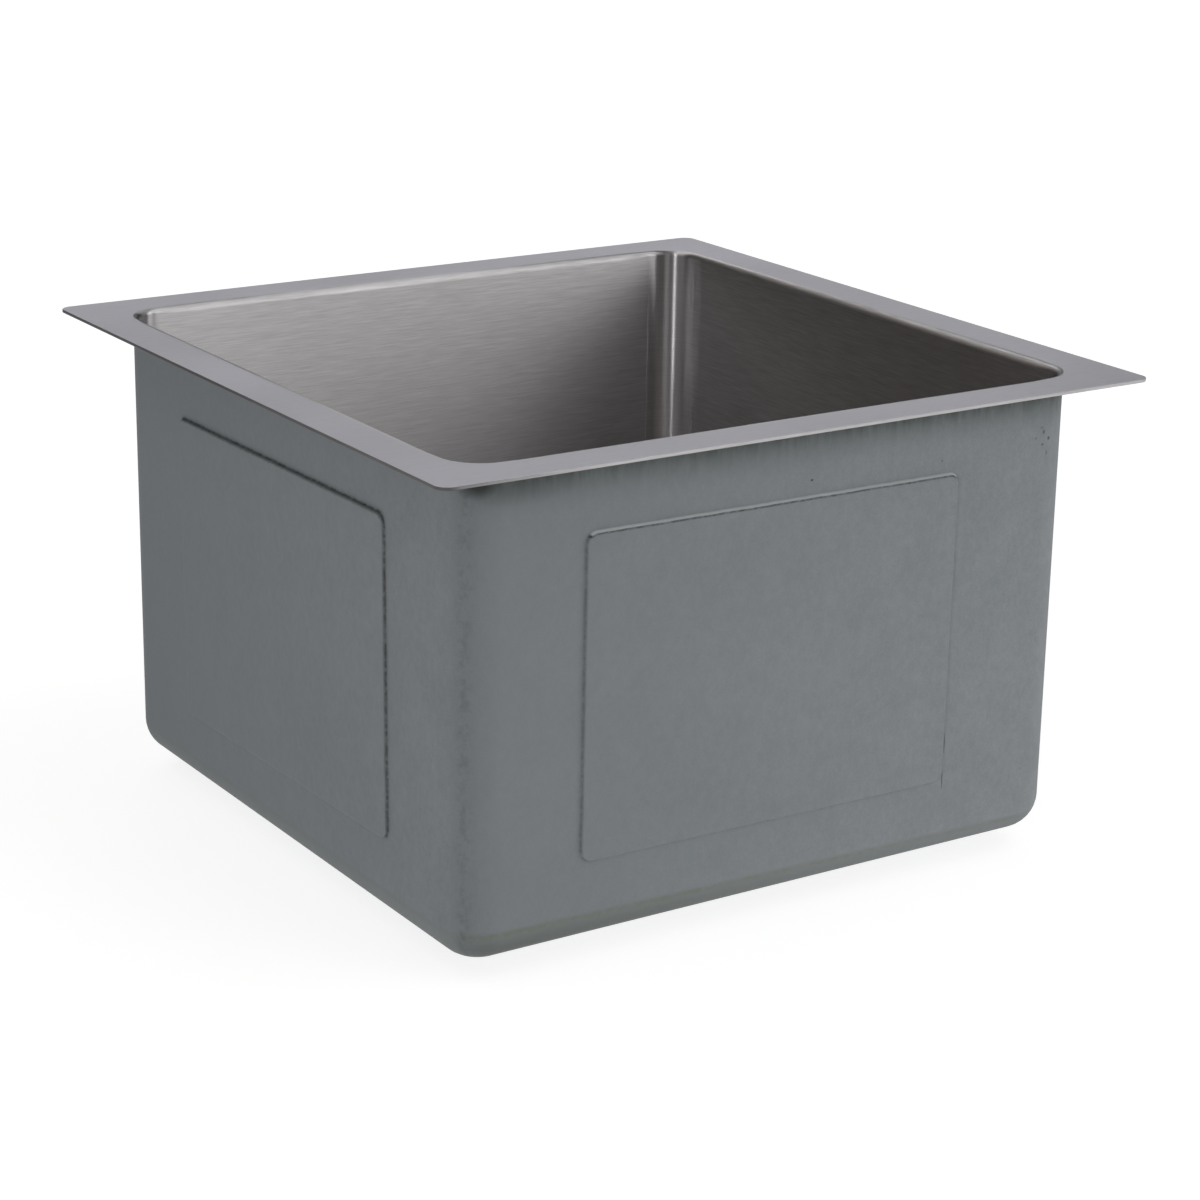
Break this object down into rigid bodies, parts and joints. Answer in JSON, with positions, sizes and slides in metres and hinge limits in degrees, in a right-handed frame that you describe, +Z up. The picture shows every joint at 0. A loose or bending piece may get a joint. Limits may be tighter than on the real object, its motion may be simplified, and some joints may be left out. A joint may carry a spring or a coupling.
{
  "type": "bar sink",
  "caption": "Square undermount bar sink: brushed steel bowl with small-radius corners, flat rim flange, recessed drain hole, damping pads and a sprayed undercoat.",
  "frame": {"origin": "centre of the underside of the drain recess, the lowest face, under the centre of the square rim", "axes": "+Z up out of the bowl, +X to the right along the front, -Y the front that the picture shows at the right"},
  "size_m": [0.381, 0.381, 0.2365],
  "materials": {
    "brushed_steel": "satin brushed",
    "damping_pad": "matte",
    "undercoat": "sprayed, matte"
  },
  "bodies": {
    "root": {"rim_flange": "brushed_steel", "wall_front": "brushed_steel", "wall_rear": "brushed_steel", "wall_left": "brushed_steel", "wall_right": "brushed_steel", "corner_front_left": "brushed_steel", "corner_front_right": "brushed_steel", "corner_rear_left": "brushed_steel", "corner_rear_right": "brushed_steel", "bottom_pan": "brushed_steel", "pad_front": "damping_pad", "pad_rear": "damping_pad", "pad_left": "damping_pad", "pad_right": "damping_pad", "pad_under_front": "damping_pad", "pad_under_rear": "damping_pad", "pad_under_left": "damping_pad", "pad_under_right": "damping_pad", "undercoat": "undercoat"}
  },
  "joints": []
}
